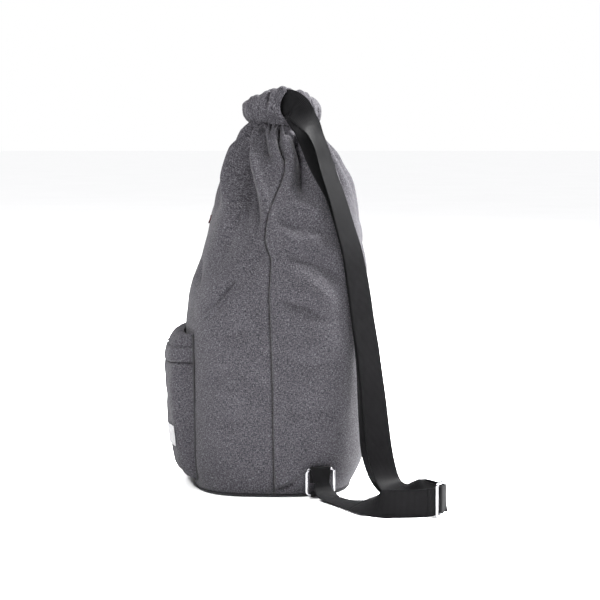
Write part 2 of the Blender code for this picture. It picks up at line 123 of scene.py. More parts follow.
# Strap routes, in millimetres: centre x, y, z, then the direction across the webbing.
OUTER_ROUTE = [
    (39.5, 1, 467, 0, 0, 1), (42, 9.5, 467.5, 0, 0, 1), (47, 16.5, 467, 0, 0.1, 1),
    (55, 24, 462, -0.15, 0.3, 0.93), (58.5, 33, 450, -0.45, 0.55, 0.7), (58, 41, 440, -0.7, 0.55, 0.45),
    (59, 47, 428, -0.82, 0.45, 0.28), (62, 53, 414, -0.86, 0.45, 0.2), (67, 58, 398, -0.86, 0.5, 0.15),
    (74, 63, 381, -0.82, 0.55, 0.1), (83, 73, 351, -0.78, 0.6, 0.1), (91, 82, 319, -0.72, 0.7, 0),
    (97, 91, 286, -0.67, 0.74, 0), (102, 98, 245, -0.6, 0.8, 0), (105, 103, 209, -0.57, 0.82, 0),
    (107, 108, 178, -0.55, 0.83, 0), (109, 112, 146, -0.5, 0.86, 0), (111, 116, 112, -0.42, 0.9, 0),
    (113, 119, 82, -0.35, 0.93, 0), (114.5, 122.5, 55, -0.32, 0.94, 0.02),
    (117, 127, 34, -0.36, 0.92, 0.05), (124.5, 133.5, 17.5, -0.48, 0.85, 0.12),
    (139, 142, 12, -0.56, 0.75, 0.35), (157, 151.5, 13.5, -0.48, 0.58, 0.66),
    (177, 162, 16, -0.25, 0.3, 0.92), (197, 170.5, 17, -0.04, 0.04, 1), (212, 176.5, 17, 0, 0, 1),
    (222.5, 183, 17, 0, 0, 1),
]
INNER_ROUTE = [
    (40, 18.5, 463.5, 0, 0.05, 1), (46.5, 21.5, 459, -0.1, 0.62, 0.78),
    (49.5, 27, 449.5, -0.2, 0.66, 0.72), (51.2, 32.5, 440, -0.42, 0.62, 0.66),
    (54.2, 38, 426, -0.57, 0.66, 0.5), (60, 45.5, 406.6, -0.6, 0.72, 0.35),
    (70, 53, 387, -0.66, 0.72, 0.2), (75, 62, 367, -0.75, 0.65, 0.1), (79, 69.5, 351, -0.76, 0.64, 0.06),
    (87, 80, 319, -0.73, 0.68, 0), (91.5, 89, 286, -0.7, 0.71, 0), (96.5, 96, 245, -0.63, 0.77, 0),
    (100, 101, 209, -0.61, 0.79, 0), (103, 104.5, 178, -0.64, 0.77, 0), (106.5, 106, 148, -0.7, 0.71, 0),
    (108.5, 108, 114, -0.66, 0.75, 0), (108.5, 110.5, 84, -0.58, 0.81, 0),
    (108.5, 113, 60, -0.5, 0.86, 0), (109.5, 118, 38, -0.48, 0.87, 0.02),
    (115, 125.5, 19, -0.55, 0.83, 0.05), (128.5, 136, 7.5, -0.62, 0.78, 0.08),
    (147, 148, 8.5, -0.6, 0.7, 0.4), (168, 161, 14, -0.36, 0.42, 0.82), (186, 173, 16.8, -0.08, 0.09, 1),
    (201, 183.5, 17, 0, 0, 1), (216, 190.6, 17, 0, 0, 1),
]
LOWER_ROUTE = [
    (249.6, 171, 17, 0, 0, 1), (252.5, 157, 16.8, 0, 0, 1), (252.5, 141, 16.5, 0, 0, 1),
    (251, 128, 16.2, -0.1, 0.1, 0.98), (245, 116.5, 14.9, -0.3, 0.35, 0.88),
    (231, 106, 11.8, -0.45, 0.65, 0.6), (209, 96, 8.1, -0.45, 0.8, 0.35),
    (186, 86, 4.8, -0.5, 0.85, 0.12), (166, 74, 3.2, -0.6, 0.8, 0), (153, 64.5, 3.6, -0.7, 0.7, 0.05),
    (144, 58, 7.6, -0.55, 0.8, 0.15), (138.2, 54.4, 13.5, -0.4, 0.9, 0.1),
    (135.6, 53, 19.4, -0.36, 0.93, 0),
]
ROUTE_STEPS = 8            # curve points from one route point to the next
LOWER_END_WIDTH = 0.6      # the lower strap's width at the ring, as a share of its full width
LOWER_NARROWS = 0.6        # share of its curve points after which it narrows
LOWER_SPLIT = 6            # route point where the slide's half of the lower strap meets the ring's half
RING_BEND = 10             # route point where it starts to follow the ring
TUCKED_END = [(213, 189, 17, 0, 0, 1), (221.5, 190.4, 17.2, 0, 0, 1)]      # how the inner layer ends

# The side seam that faces the camera: (y, z) in millimetres.
NEAR_SEAM = [
    (-3, 2), (-3, 8), (-4, 55), (-5, 131), (-7, 191), (-9, 239), (-8, 259), (-7, 282), (-11, 293),
    (-14, 307), (-12, 324), (-8, 340), (-2, 356), (5, 372), (9, 386), (9, 400), (5, 412), (3, 430),
    (3, 446),
]


# ---- small helpers ----
pieces = bpy.data.collections.new("sling_bag_looks")
bpy.context.scene.collection.children.link(pieces)


def add_object(name, data, collection=None):
    obj = bpy.data.objects.new(name, data)
    (collection or bpy.context.scene.collection).objects.link(obj)
    return obj


def smooth_rows(rows, between):
    """A Catmull-Rom curve through rows of numbers."""
    data = np.array(rows, float)
    padded = np.vstack([2 * data[0] - data[1], data, 2 * data[-1] - data[-2]])
    t = (np.arange(between) / between)[:, None]
    made = []
    for k in range(1, len(data)):
        a, b, c, d = padded[k - 1:k + 3]
        made.append(0.5 * (2 * b + (c - a) * t + (2 * a - 5 * b + 4 * c - d) * t ** 2
                           + (3 * b - a - 3 * c + d) * t ** 3))
    return np.vstack(made + [data[-1:]])


def unit(v):
    return v / np.maximum(np.linalg.norm(v, axis=-1, keepdims=True), 1e-12)


def blunt(value, power):
    """A value between -1 and 1 raised to a power, with its sign kept."""
    return np.sign(value) * np.abs(value) ** power


def reach_along(points):
    """Distance of each point of a line from its start."""
    return np.concatenate([[0], np.cumsum(np.linalg.norm(np.diff(points, axis=0), axis=1))])


def bell(distance, width, power=2.0):
    """1 at no distance, falling away on both sides."""
    return np.exp(-np.abs(distance / width) ** power)


def ease(share):
    """0 to 1 with a soft start and end."""
    return share * share * (3 - 2 * share)


def uv_grid(across, along):
    return np.stack(np.meshgrid(across, along), axis=2)


def waves(points, size, seed):
    """Smooth seeded noise, about -1 to 1, whose lumps are about this size in metres."""
    random = np.random.default_rng(seed)
    total = np.zeros(points.shape[:-1])
    for _ in range(NOISE_WAVES):
        direction = random.normal(size=points.shape[-1])
        direction *= random.uniform(0.6, 1.5) / np.linalg.norm(direction) * TAU / (2 * size)
        total += np.cos(points @ direction + random.uniform(0, TAU))
    return total / math.sqrt(NOISE_WAVES / 2) / 1.5


def surface_normals(points):
    """Unit normals of a grid of points, from rows going up and columns going round."""
    along = np.gradient(points, axis=1)
    up = np.gradient(points, axis=0)
    return unit(np.cross(along, up))


def grid_object(name, points, uv, material, closed=False):
    """A mesh through a grid of points, with its UVs in metres; closed joins last column to first."""
    rows, columns = points.shape[:2]
    span = columns if closed else columns - 1
    i, j = (a.ravel() for a in np.meshgrid(np.arange(rows - 1), np.arange(span), indexing="ij"))
    wide = uv.shape[1]
    corners = [(i, j), (i, j + 1), (i + 1, j + 1), (i + 1, j)]
    quads = np.stack([a * columns + b % columns for a, b in corners], 1)
    mesh = bpy.data.meshes.new(name)
    mesh.from_pydata(points.reshape(-1, 3).tolist(), [], quads.tolist())
    layer = mesh.uv_layers.new(name="cloth")
    loops = np.stack([a * wide + b for a, b in corners], 1).ravel()
    layer.data.foreach_set("uv", uv.reshape(-1, 2)[loops].astype(np.float32).ravel())
    mesh.shade_smooth()
    mesh.materials.append(material)
    return add_object(name, mesh, pieces)


def mend(mesh, merge=0.0):
    """Merges points closer than a distance, or fills every hole, and turns the faces outwards."""
    bm = bmesh.new()
    bm.from_mesh(mesh)
    if merge:
        bmesh.ops.remove_doubles(bm, verts=bm.verts, dist=merge)
    else:
        bmesh.ops.holes_fill(bm, edges=bm.edges, sides=0)
    bmesh.ops.recalc_face_normals(bm, faces=bm.faces)
    bm.to_mesh(mesh)
    bm.free()


def close_ends(obj):
    mend(obj.data)
    return obj


def thicken(obj, thickness, offset=-1.0):
    solid = obj.modifiers.new("wall", "SOLIDIFY")
    solid.thickness = thickness
    solid.offset = offset
    return obj


def place(obj, body, slot, *nodes):
    """The piece rides on a body, when one is given, and stands for CAD nodes, which it hides; slot is not
    used.
    """
    if body:
        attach(obj, body)
    if nodes:
        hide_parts(*nodes)
    return obj


# ---- materials ----
class Nodes:
    """Short forms for building one Principled material."""

    def __init__(self, name, roughness, metallic=0.0, specular=0.5):
        self.material = bpy.data.materials.new(name)
        self.material.use_nodes = True
        self.tree = self.material.node_tree
        self.shader = self.tree.nodes["Principled BSDF"]
        self.shader.inputs["Roughness"].default_value = roughness
        self.shader.inputs["Metallic"].default_value = metallic
        self.shader.inputs["Specular IOR Level"].default_value = specular

    def add(self, kind, **settings):
        node = self.tree.nodes.new(kind)
        for key, value in settings.items():
            setattr(node, key, value)
        return node

    def link(self, source, target):
        self.tree.links.new(source, target)

    def maths(self, operation, *values):
        """One sum; a value is another node's output or a plain number."""
        node = self.add("ShaderNodeMath", operation=operation)
        for socket, value in zip(node.inputs, values):
            if hasattr(value, "is_output"):
                self.link(value, socket)
            else:
                socket.default_value = value
        return node.outputs[0]

    def scaled(self, source, *scale):
        mapping = self.add("ShaderNodeMapping")
        mapping.inputs["Scale"].default_value = scale
        self.link(source, mapping.inputs[0])
        return mapping.outputs[0]

    def uv(self, across=1.0, along=1.0):
        """The cloth's own coordinates in metres, times two scales."""
        return self.scaled(self.add("ShaderNodeUVMap", uv_map="cloth").outputs[0], across, along, 1.0)

    def solid(self, scale):
        """The object's own coordinates in metres, times a scale."""
        return self.scaled(self.add("ShaderNodeTexCoord").outputs["Object"], scale, scale, scale)

    def noise(self, vector, detail=2.0, rough=0.5):
        node = self.add("ShaderNodeTexNoise")
        self.link(vector, node.inputs["Vector"])
        node.inputs["Scale"].default_value = 1.0
        node.inputs["Detail"].default_value = detail
        node.inputs["Roughness"].default_value = rough
        return node.outputs["Fac"]

    def ramp(self, value, *stops):
        """Colours, or greys given as one number, blended over (position, colour) stops."""
        node = self.add("ShaderNodeValToRGB")
        while len(node.color_ramp.elements) < len(stops):
            node.color_ramp.elements.new(0.5)
        for element, (position, colour) in zip(node.color_ramp.elements, stops):
            element.position = position
            element.color = (*colour, 1.0) if isinstance(colour, tuple) else (colour,) * 3 + (1.0,)
        self.link(value, node.inputs[0])
        return node.outputs[0]

    def mix(self, share, a, b):
        node = self.add("ShaderNodeMix", data_type="RGBA")
        for socket, value in ((0, share), (6, a), (7, b)):
            self.link(value, node.inputs[socket])
        return node.outputs[2]

    def blend(self, a, b, part_of_a, part_of_b):
        """A weighted sum of two values."""
        return self.maths("MULTIPLY_ADD", a, part_of_a, self.maths("MULTIPLY", b, part_of_b))

    def stripes(self, vector, axis, pitch_scale):
        """A sine wave, 0 to 1, along one UV axis; the scale is in waves per metre."""
        split = self.add("ShaderNodeSeparateXYZ")
        self.link(vector, split.inputs[0])
        angle = self.maths("MULTIPLY", split.outputs[axis], TAU * pitch_scale)
        return self.maths("MULTIPLY_ADD", self.maths("SINE", angle), 0.5, 0.5)

    def bump(self, height, distance, strength=1.0, normal=None):
        node = self.add("ShaderNodeBump")
        node.inputs["Distance"].default_value = distance
        node.inputs["Strength"].default_value = strength
        self.link(height, node.inputs["Height"])
        if normal is not None:
            self.link(normal, node.inputs["Normal"])
        return node.outputs[0]

    def finish(self, colour, normal=None, rough=None, sheen=0.0):
        for name, value in (("Base Color", colour), ("Normal", normal), ("Roughness", rough)):
            if value is not None:
                self.link(value, self.shader.inputs[name])
        self.shader.inputs["Sheen Weight"].default_value = sheen
        return self.material


def melange_cloth(name, dark, middle, light):
    """Heathered plain weave: streaky warp and weft yarns over and under each other."""
    m = Nodes(name, roughness=0.95, specular=0.1)
    plain = m.uv()
    warp_yarn = m.noise(m.uv(1100.0, 300.0), detail=3.0, rough=0.65)
    weft_yarn = m.noise(m.uv(300.0, 1100.0), detail=3.0, rough=0.65)
    warp_wave = m.stripes(plain, 0, 760.0)
    weft_wave = m.stripes(plain, 1, 760.0)
    over = m.maths("GREATER_THAN", m.maths("SUBTRACT", warp_wave, weft_wave), 0.0)
    yarn = m.mix(over, weft_yarn, warp_yarn)
    speckle = m.noise(m.uv(760.0, 760.0), detail=4.0, rough=0.75)
    cloudy = m.noise(m.uv(32.0, 26.0), detail=3.0, rough=0.6)
    tone = m.blend(yarn, speckle, 0.62, 0.38)
    tone = m.maths("ADD", tone, m.maths("MULTIPLY", m.maths("SUBTRACT", cloudy, 0.5), 0.05))
    colour = m.ramp(tone, (0.38, dark), (0.50, middle), (0.63, light))
    height = m.maths("MULTIPLY", warp_wave, weft_wave)
    grain = m.bump(height, 0.00035, 0.55)
    slub = m.bump(tone, 0.0009, 0.6, grain)
    return m.finish(colour, slub, sheen=0.05)


def plain_cloth(name, low, high, pitch=900.0, roughness=0.85):
    """Close even weave in one colour, a little mottled."""
    m = Nodes(name, roughness=roughness, specular=0.25)
    plain = m.uv()
    weave = m.maths("MULTIPLY", m.stripes(plain, 0, pitch), m.stripes(plain, 1, pitch))
    mottle = m.noise(m.uv(260.0, 260.0), detail=4.0, rough=0.7)
    tone = m.blend(weave, mottle, 0.4, 0.6)
    return m.finish(m.ramp(tone, (0.25, low), (0.75, high)), m.bump(tone, 0.0003, 0.8))


def ribbed_webbing(name):
    """Black woven webbing: close ribs across it, grooves along it and smooth selvedges."""
    m = Nodes(name, roughness=0.48, specular=0.02)
    plain = m.uv()
    ribs = m.stripes(plain, 1, 760.0)
    lines = m.stripes(plain, 0, 520.0)
    wear = m.noise(m.uv(140.0, 60.0), detail=4.0, rough=0.65)
    fuzz = m.noise(m.uv(900.0, 1600.0), detail=2.0)
    tone = m.maths("ADD", m.blend(ribs, fuzz, 0.55, 0.35), m.maths("MULTIPLY", wear, 0.25))
    colour = m.ramp(tone, (0.30, (0.0018, 0.0018, 0.0020)), (0.85, (0.0100, 0.0099, 0.0105)))
    height = m.maths("ADD", ribs, m.maths("MULTIPLY", lines, 0.35))
    normal = m.bump(fuzz, 0.00012, 0.4, m.bump(height, 0.00012, 0.6))
    return m.finish(colour, normal, m.ramp(wear, (0.3, 0.42), (0.7, 0.54)))


def polished_metal(name):
    """Nickel plate with faint scratches and a little dulling."""
    m = Nodes(name, roughness=0.14, metallic=1.0)
    spots = m.noise(m.solid(420.0), detail=5.0, rough=0.7)
    scratch = m.noise(m.solid(90.0), detail=2.0)
    colour = m.ramp(scratch, (0.3, (0.36, 0.36, 0.38)), (0.7, (0.56, 0.56, 0.58)))
    rough = m.ramp(spots, (0.35, 0.09), (0.7, 0.26))
    return m.finish(colour, m.bump(spots, 0.00008, 0.25), rough)


def board_finish(name):
    m = Nodes(name, roughness=0.6)
    grain = m.noise(m.solid(300.0), detail=5.0)
    colour = m.ramp(grain, (0.3, (0.14, 0.13, 0.12)), (0.7, (0.23, 0.21, 0.19)))
    return m.finish(colour, m.bump(grain, 0.0003, 0.5))


def floor_finish():
    m = Nodes("studio_floor", roughness=0.9, specular=0.1)
    faint = m.noise(m.solid(2.0), detail=2.0)
    return m.finish(m.ramp(faint, (0.3, (0.90, 0.90, 0.905)), (0.7, (0.915, 0.915, 0.92))))


CLOTH = melange_cloth("grey_melange", (0.006, 0.0056, 0.0072), (0.030, 0.0285, 0.033),
                      (0.108, 0.104, 0.115))
WEBBING = ribbed_webbing("black_webbing")
LINING = plain_cloth("black_lining", (0.008, 0.008, 0.009), (0.022, 0.022, 0.024), roughness=0.7)
PIPING = plain_cloth("dark_piping", (0.012, 0.012, 0.013), (0.035, 0.034, 0.037))
# Near-black base: painted contact shade along the bag's foot.
BASE_PAINTED_SHADE = plain_cloth("base_cloth_painted_contact_shade", (0.010, 0.010, 0.011), (0.030, 0.030, 0.032), pitch=700.0)
LABEL = plain_cloth("pale_label", (0.30, 0.30, 0.305), (0.46, 0.46, 0.465), pitch=1600.0)
TAG = plain_cloth("dark_red_tag", (0.022, 0.004, 0.006), (0.055, 0.009, 0.013), pitch=1500.0)
DARK_THREAD = plain_cloth("grey_thread", (0.035, 0.034, 0.036), (0.08, 0.079, 0.082), pitch=2500.0)
THREAD = plain_cloth("pale_thread", (0.20, 0.195, 0.205), (0.36, 0.355, 0.37), pitch=2500.0)
METAL = polished_metal("nickel_plate")
BOARD = board_finish("stiffener_board")


# ---- camera and studio ----
def aim(obj, target):
    obj.rotation_euler = (Vector(target) - obj.location).to_track_quat("-Z", "Y").to_euler()


def make_camera():
    data = bpy.data.cameras.new("camera")
    data.sensor_width, data.lens = 36.0, 115.93
    camera = add_object("camera", data)
    camera.location = (2.39087, 0.0275, 0.43336)
    aim(camera, (0.0, 0.0275, 0.224186))
    bpy.context.scene.camera = camera


def soft_light(name, location, size, watts):
    """A disc light aimed at the middle of the bag."""
    data = bpy.data.lights.new(name, "AREA")
    data.shape, data.size, data.energy = "DISK", size, watts
    lamp = add_object(name, data)
    lamp.location = location
    aim(lamp, (0.0, 0.0, 0.2))
    return lamp


def sky_light(name, direction, strength, spread):
    """A wide soft sun, which lights the whole floor evenly."""
    data = bpy.data.lights.new(name, "SUN")
    data.energy, data.angle = strength, math.radians(spread)
    lamp = add_object(name, data)
    lamp.location = direction
    aim(lamp, (0, 0, 0))


def make_world():
    """White paper all round, with less light coming from it than the eye sees."""
    world = bpy.data.worlds.new("studio_world")
    world.use_nodes = True
    tree = world.node_tree
    seen = tree.nodes["Background"]
    seen.inputs["Color"].default_value = (1.0, 1.0, 1.0, 1.0)
    lit = tree.nodes.new("ShaderNodeBackground")
    lit.inputs["Color"].default_value = (0.97, 0.98, 1.0, 1.0)
    lit.inputs["Strength"].default_value = 0.12
    path = tree.nodes.new("ShaderNodeLightPath")
    mix = tree.nodes.new("ShaderNodeMixShader")
    tree.links.new(path.outputs["Is Camera Ray"], mix.inputs[0])
    tree.links.new(lit.outputs[0], mix.inputs[1])
    tree.links.new(seen.outputs[0], mix.inputs[2])
    tree.links.new(mix.outputs[0], tree.nodes["World Output"].inputs["Surface"])
    bpy.context.scene.world = world


def make_studio():
    make_world()
    bpy.context.scene.view_settings.view_transform = "Standard"
    sky_light("overhead_light", (0.25, -0.45, 1.6), 3.2, 50.0)
    soft_light("back_softbox", (-0.6, 1.5, 2.3), 0.8, 520.0)
    front = soft_light("camera_softbox", (1.9, -1.0, 1.8), 0.45, 82.0)
    front.visible_glossy = False      # it leaves no shine on the webbing
    bm = bmesh.new()
    bmesh.ops.create_grid(bm, x_segments=8, y_segments=8, size=FLOOR_REACH)
    mesh = bpy.data.meshes.new("floor")
    bm.to_mesh(mesh)
    bm.free()
    floor = add_object("floor", mesh)
    mesh.materials.append(floor_finish())


# ---- webbing ----
def web_profile():
    """Closed section of the webbing: flat, with rounded selvedges; across -1..1, through -1..1."""
    count = 28
    turn = np.linspace(0, TAU, count, endpoint=False) + TAU / (2 * count)
    return blunt(np.cos(turn), 0.4), blunt(np.sin(turn), 0.45)


def ribbon(name, centres, across, widths):
    """Flat webbing as a closed mesh; its UVs run across and along it."""
    ahead = unit(np.gradient(centres, axis=0))
    across = across - ahead * np.sum(across * ahead, axis=1, keepdims=True)
    across = unit(across)
    through = np.cross(ahead, across)
    a, h = web_profile()
    points = (centres[:, None] + across[:, None] * (a[None, :, None] * widths[:, None, None] / 2)
              + through[:, None] * (h[None, :, None] * WEB_THICK / 2))
    around = np.concatenate([a, a[:1]]) * WEB_WIDTH / 2
    uv = uv_grid(around, reach_along(centres))
    return close_ends(grid_object(name, points, uv, WEBBING, closed=True))


def route(rows):
    """Centres of the webbing and its directions across, along a smooth curve through a route."""
    data = smooth_rows([(*(v * MM for v in row[:3]), *row[3:]) for row in rows], ROUTE_STEPS)
    return data[:, :3], data[:, 3:]


def shoulder_strap(name, rows):
    """One run of the shoulder strap, down to the slide."""
    centres, across = route(rows)
    strap = ribbon("shoulder_strap_" + name, centres, across, np.full(len(centres), WEB_WIDTH))
    place(strap, None, "webbing", "strap_" + name)
    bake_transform(strap)
    return strap, centres


def lower_strap():
    """The strap from the slide to the ring, in two halves that meet on the floor."""
    centres, across = route(LOWER_ROUTE)
    share = np.linspace(0, 1, len(centres))
    narrowed = np.maximum(0, share - LOWER_NARROWS) / (1 - LOWER_NARROWS)
    widths = WEB_WIDTH * (1 - (1 - LOWER_END_WIDTH) * narrowed)
    cut = LOWER_SPLIT * ROUTE_STEPS
    near = ribbon("lower_strap_slide_half", centres[:cut + 1], across[:cut + 1], widths[:cut + 1])
    far = ribbon("lower_strap_ring_half", centres[cut:], across[cut:], widths[cut:])
    for half, bodies, span in ((near, ("slide", "bag"), centres[[0, cut]]),
                               (far, ("bag", "ring"), centres[[RING_BEND * ROUTE_STEPS, -1]])):
        place(half, None, "webbing", "strap_lower")
        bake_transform(half)
    return near, far


def make_straps():
    outer, outer_line = shoulder_strap("outer", OUTER_ROUTE)
    inner, inner_line = shoulder_strap("inner", INNER_ROUTE[:-1] + TUCKED_END)
    on_outer = [*lower_strap(), make_slide(), make_slide_wrap(), make_ring_wrap()]


# ---- ring and slide ----
def beside(along):
    """The level direction at a right angle to a level one."""
    return Vector((along.y, -along.x, 0))


def rounded_outline(x0, x1, y0, y1, corner, steps=6):
    """Plan points of a rectangle with round corners, anticlockwise."""
    points = []
    for cx, cy, first in ((x1 - corner, y0 + corner, -90), (x1 - corner, y1 - corner, 0),
                          (x0 + corner, y1 - corner, 90), (x0 + corner, y0 + corner, 180)):
        for a in np.radians(np.linspace(first, first + 90, steps + 1)):
            points.append((cx + corner * math.cos(a), cy + corner * math.sin(a)))
    return points


def make_ring():
    """Wire ring with round corners and flattened faces, standing on its foot bar."""
    outward = np.array(beside(RING_ALONG))
    half = RING_WIDTH / 2 - RING_WIRE
    outline = np.array(rounded_outline(-half, half, 0.0, RING_HEIGHT, RING_CORNER, 10))
    centres = np.array(RING_FOOT) + outline[:, :1] * np.array(RING_ALONG) + outline[:, 1:] * UP
    ahead = unit(np.roll(centres, -1, axis=0) - np.roll(centres, 1, axis=0))
    side = np.cross(ahead, outward)
    turn = np.linspace(0, TAU, 24, endpoint=False)
    reach, lift = (blunt(wave, 0.75) * RING_WIRE for wave in (np.cos(turn), np.sin(turn)))
    points = (centres[:, None] + side[:, None] * reach[None, :, None]
              + outward[None, None] * lift[None, :, None])
    points = np.concatenate([points, points[:1]])
    uv = uv_grid(np.linspace(0, 0.01, 25), np.linspace(0, 0.13, len(points)))
    ring = grid_object("chrome_ring", points, uv, METAL, closed=True)
    mend(ring.data, merge=1e-6)
    place(ring, "ring", "chrome", "strap_ring")


def on_ring(profile):
    """Centres across the ring from (outward, height) pairs seen along its foot bar."""
    rows = smooth_rows(profile, 4)
    flat = np.array(RING_FOOT) * (1, 1, 0)
    centres = flat + rows[:, :1] * np.array(beside(RING_ALONG)) + rows[:, 1:2] * UP
    return centres, np.tile(np.array(RING_ALONG), (len(rows), 1)), rows


def make_ring_tab():
    """Short folded tab that holds the ring's foot bar against the base seam."""
    radius = RING_WIRE + 0.0003 + WEB_THICK / 2
    turns = np.radians(np.linspace(115, -115, 12))
    ends = [(-0.0060, 0.0012), (-0.0042, 0.0016)]
    profile = [(out, RING_PIN_Z + lift) for out, lift in ends]
    profile += [(radius * math.cos(a), RING_PIN_Z + radius * math.sin(a)) for a in turns]
    profile += [(out, RING_PIN_Z - lift) for out, lift in ends[::-1]]
    centres, across, _ = on_ring(profile)
    tab = ribbon("ring_tab_webbing", centres, across, np.full(len(centres), RING_WEB))
    place(tab, "bag", "webbing", "ring_tab")


def make_ring_wrap():
    """The webbing folded over the ring's top bar; its front leg runs on into the lower strap."""
    top, lowest = RING_PIN_Z + RING_HEIGHT, 0.0194
    radius = RING_WIRE + 0.0002 + WEB_THICK / 2
    profile = [(-0.0016, top - 0.0165), (-radius, top - 0.012), (-radius, top - 0.007),
               (-radius, top - 0.003)]
    profile += [(-radius * math.cos(a), top + radius * math.sin(a))
                for a in np.radians(np.linspace(10, 170, 9))]
    profile += [(radius, top - 0.003), (radius, top - 0.007), (0.0033, top - 0.0115), (0.0045, lowest)]
    centres, across, rows = on_ring(profile)
    end = WEB_WIDTH * LOWER_END_WIDTH
    narrow = np.clip((top - 0.004 - rows[:, 1]) / (top - 0.004 - lowest), 0, 1) * (rows[:, 0] > 0)
    wrap = ribbon("ring_webbing_fold", centres, across, RING_WEB + (end - RING_WEB) * narrow)
    return place(wrap, "ring", "webbing", "ring_wrap")


def make_slide():
    """Three-bar slide: a plate with two slots, all its edges rounded."""
    data = bpy.data.curves.new("three_bar_slide", "CURVE")
    data.dimensions = "2D"
    data.fill_mode = "BOTH"
    data.bevel_depth, data.bevel_resolution = SLIDE_BEVEL, 4
    data.extrude = SLIDE_PLATE / 2 - SLIDE_BEVEL
    data.offset = -SLIDE_BEVEL
    slot = (SLIDE_LENGTH - 3 * SLIDE_BAR) / 2
    outlines = [(0, SLIDE_LENGTH, 0, SLIDE_TALL, SLIDE_CORNER)]
    for k in range(2):
        start = SLIDE_BAR + k * (slot + SLIDE_BAR)
        outlines.append((start, start + slot, SLIDE_RAIL, SLIDE_TALL - SLIDE_RAIL, SLOT_CORNER))
    for outline in outlines:
        points = rounded_outline(*outline)
        spline = data.splines.new("POLY")
        spline.points.add(len(points) - 1)
        for knot, (x, y) in zip(spline.points, points):
            knot.co = (x, y, 0, 1)
        spline.use_cyclic_u = True
    curve = add_object("slide_outline", data)
    turn = Matrix((SLIDE_ALONG, Vector((0, 0, 1)), beside(SLIDE_ALONG))).transposed().to_4x4()
    curve.matrix_world = Matrix.Translation(SLIDE_EDGE + Vector((0, 0, FLOOR_GAP))) @ turn
    bpy.context.view_layer.update()
    mesh = bpy.data.meshes.new_from_object(curve.evaluated_get(bpy.context.evaluated_depsgraph_get()))
    mesh.transform(curve.matrix_world)
    bpy.data.objects.remove(curve, do_unlink=True)
    mend(mesh, merge=1e-5)
    mesh.shade_smooth()
    mesh.set_sharp_from_angle(angle=math.radians(50))
    mesh.materials.clear()
    mesh.materials.append(METAL)
    return place(add_object("chrome_slide", mesh, pieces), "slide", "chrome", "strap_slide")


def make_slide_wrap():
    """Webbing threaded through the slide: behind the near bar, over the others, round the far one."""
    plan = [(-1.3, -12.6), (-0.9, -9.4), (-0.7, -6.0), (1.6, -3.1), (4.2, -2.0), (6.6, 0.0), (9.0, 2.0),
            (12.0, 2.6), (18.0, 2.7), (23.5, 2.6), (26.2, 1.8), (27.3, 0.0), (27.6, -3.0), (28.2, -6.2),
            (28.6, -9.4)]
    rows = smooth_rows(plan, 5) * MM
    along, facing = np.array(SLIDE_ALONG), np.array(beside(SLIDE_ALONG))
    centres = np.array(SLIDE_EDGE) + rows[:, :1] * along + rows[:, 1:] * facing
    arch = np.sin(np.linspace(0, 1, len(rows)) * math.pi)
    centres[:, 2] = WRAP_MIDDLE_Z + 0.0031 * arch ** 1.2
    widths = WEB_WIDTH - 0.0008 * arch
    wrap = ribbon("slide_webbing_loop", centres, np.tile(UP, (len(rows), 1)), widths)
    return place(wrap, "slide", "webbing", "slide_wrap")


# ---- body ----
FINE_Z = np.arange(0.0, NECK_Z + 0.0005, MM)


def softened_rows():
    """The body's section table at every millimetre, with its corners rounded off."""
    table = np.stack([np.interp(FINE_Z, BODY_ROWS[:, 0], BODY_ROWS[:, k]) for k in range(1, 5)], 1)
    for _ in range(2):
        padded = np.vstack([2 * table[0] - table[8:0:-1], table, 2 * table[-1] - table[-2:-10:-1]])
        table = np.stack([np.convolve(padded[:, k], np.ones(17) / 17, "valid") for k in range(4)], 1)
    return table


SOFT_ROWS = softened_rows()


def body_row(z):
    return [np.interp(z, FINE_Z, SOFT_ROWS[:, k]) for k in range(4)]


def section(z, angle):
    """Points of the body's section at these heights and angles, from +X towards the back."""
    front, back, half, power = body_row(z)
    c, s = np.cos(angle), np.sin(angle)
    x = half * blunt(c, 2 / power)
    y = (front + back) / 2 + (back - front) / 2 * blunt(s, 2 / power)
    return np.stack([x, y, z + 0 * angle], axis=-1)


def side_angle(y, z):
    """The near-side angle whose section point has this y."""
    front, back, _, power = body_row(z)
    share = np.clip((y - (front + back) / 2) / ((back - front) / 2), -0.999, 0.999)
    return np.arcsin(blunt(share, power / 2))


def front_y(x, z):
    front, back, half, power = body_row(z)
    share = np.clip(1 - np.abs(x / half) ** power, 0, 1) ** (1 / power)
    return (front + back) / 2 - (back - front) / 2 * share


def side_points(line):
    """Points of the body's near side, from (y, z) pairs in millimetres."""
    y, z = np.array(line, float).T * MM
    return section(z, side_angle(y, z))


def ring_points(line):
    """Points of the body from (angle in degrees, z in millimetres) pairs."""
    angle, z = np.array(line, float).T
    return section(z * MM, np.radians(angle))


FOLD_GAIN = 1.55           # multiplies the depth of every fold
LEFT_WIDER, RIGHT_WIDER = (1.7, 0.6), (0.6, 1.7)
EVEN = (1.0, 1.0)

